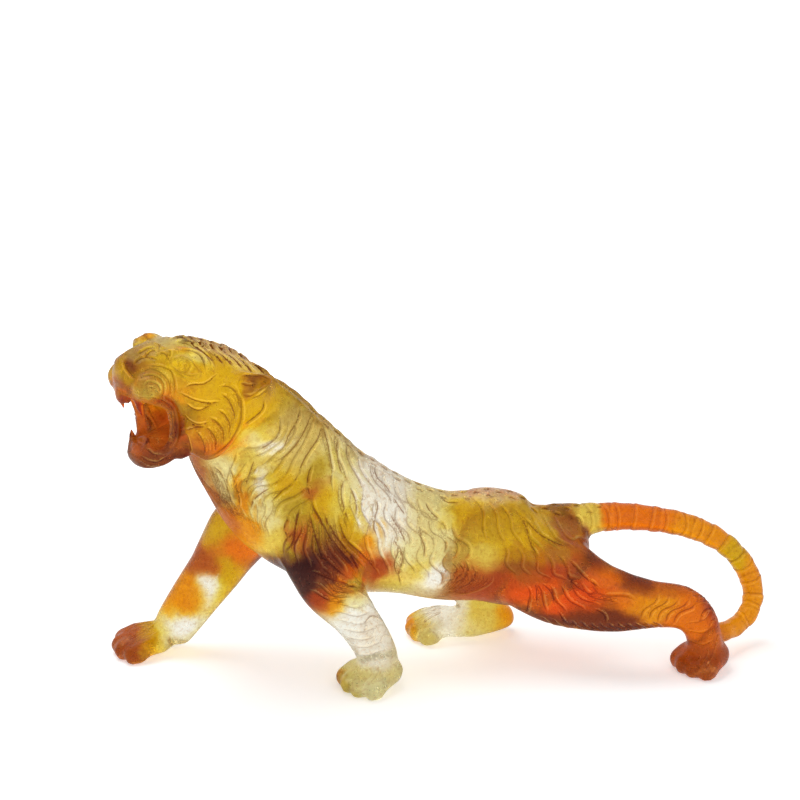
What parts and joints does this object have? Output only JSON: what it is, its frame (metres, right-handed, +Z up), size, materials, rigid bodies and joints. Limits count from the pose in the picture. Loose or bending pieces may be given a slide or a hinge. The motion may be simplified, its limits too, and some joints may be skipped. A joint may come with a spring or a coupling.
{
  "type": "tiger figurine",
  "caption": "Cast glass figurine of a tiger that walks low with its head turned and its mouth open in a roar, the tail curled down to a hind foot.",
  "frame": {"origin": "middle of the figure's overall footprint, on the plane that the paws stand on", "axes": "+X from the head towards the tail, +Y towards the tiger's right flank, +Z up from the paws"},
  "size_m": [0.4328, 0.1132, 0.2311],
  "materials": {
    "amber_glass": "cast glass with a satin skin, golden amber running from clear pale yellow to orange and red-brown"
  },
  "bodies": {
    "root": {"tiger_casting": "amber_glass"}
  },
  "joints": []
}
